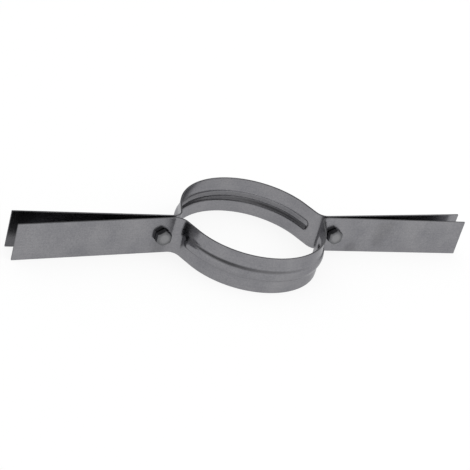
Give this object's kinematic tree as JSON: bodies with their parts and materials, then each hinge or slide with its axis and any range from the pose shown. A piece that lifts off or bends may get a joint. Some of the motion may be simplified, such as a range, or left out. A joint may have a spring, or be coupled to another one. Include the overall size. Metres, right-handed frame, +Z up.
{
  "type": "flue liner clamp",
  "caption": "Steel strip clamp with two pressed half rings, long flat arms and hexagon bolts, for hanging a chimney flue liner.",
  "frame": {"origin": "on the ring's axis, at the height of the strips' lower edges", "axes": "+Z up along the ring's axis, +X along the arms to the right, +Y towards the back half band, where the nuts are"},
  "size_m": [0.4368, 0.1364, 0.035],
  "materials": {
    "strip_steel": "mill finish, satin",
    "bolt_steel": "plain machined, slightly bright"
  },
  "bodies": {
    "front": {"front_band": "strip_steel", "left_bolt": "bolt_steel", "right_bolt": "bolt_steel"},
    "back": {"back_band": "strip_steel"},
    "left_nut": {"left_nut": "bolt_steel"},
    "right_nut": {"right_nut": "bolt_steel"}
  },
  "joints": [
    {"name": "band_gap", "type": "slide", "parent": "front", "child": "back", "axis": [0, 1, 0], "range_m": [-0.0011, 0.01]},
    {"name": "left_nut_turn", "type": "hinge", "parent": "back", "child": "left_nut", "pos_m": [-0.08451, 0.0065, 0.0175], "axis": [0, 1, 0], "range_deg": [-317, 2881]},
    {"name": "right_nut_turn", "type": "hinge", "parent": "back", "child": "right_nut", "pos_m": [0.08451, 0.0059, 0.0175], "axis": [0, 1, 0], "range_deg": [-317, 2881]}
  ],
  "couplings": [
    {"joint": "left_nut_turn", "follows": "band_gap", "rad_per_m": 5026.6},
    {"joint": "right_nut_turn", "follows": "band_gap", "rad_per_m": 5026.6}
  ]
}
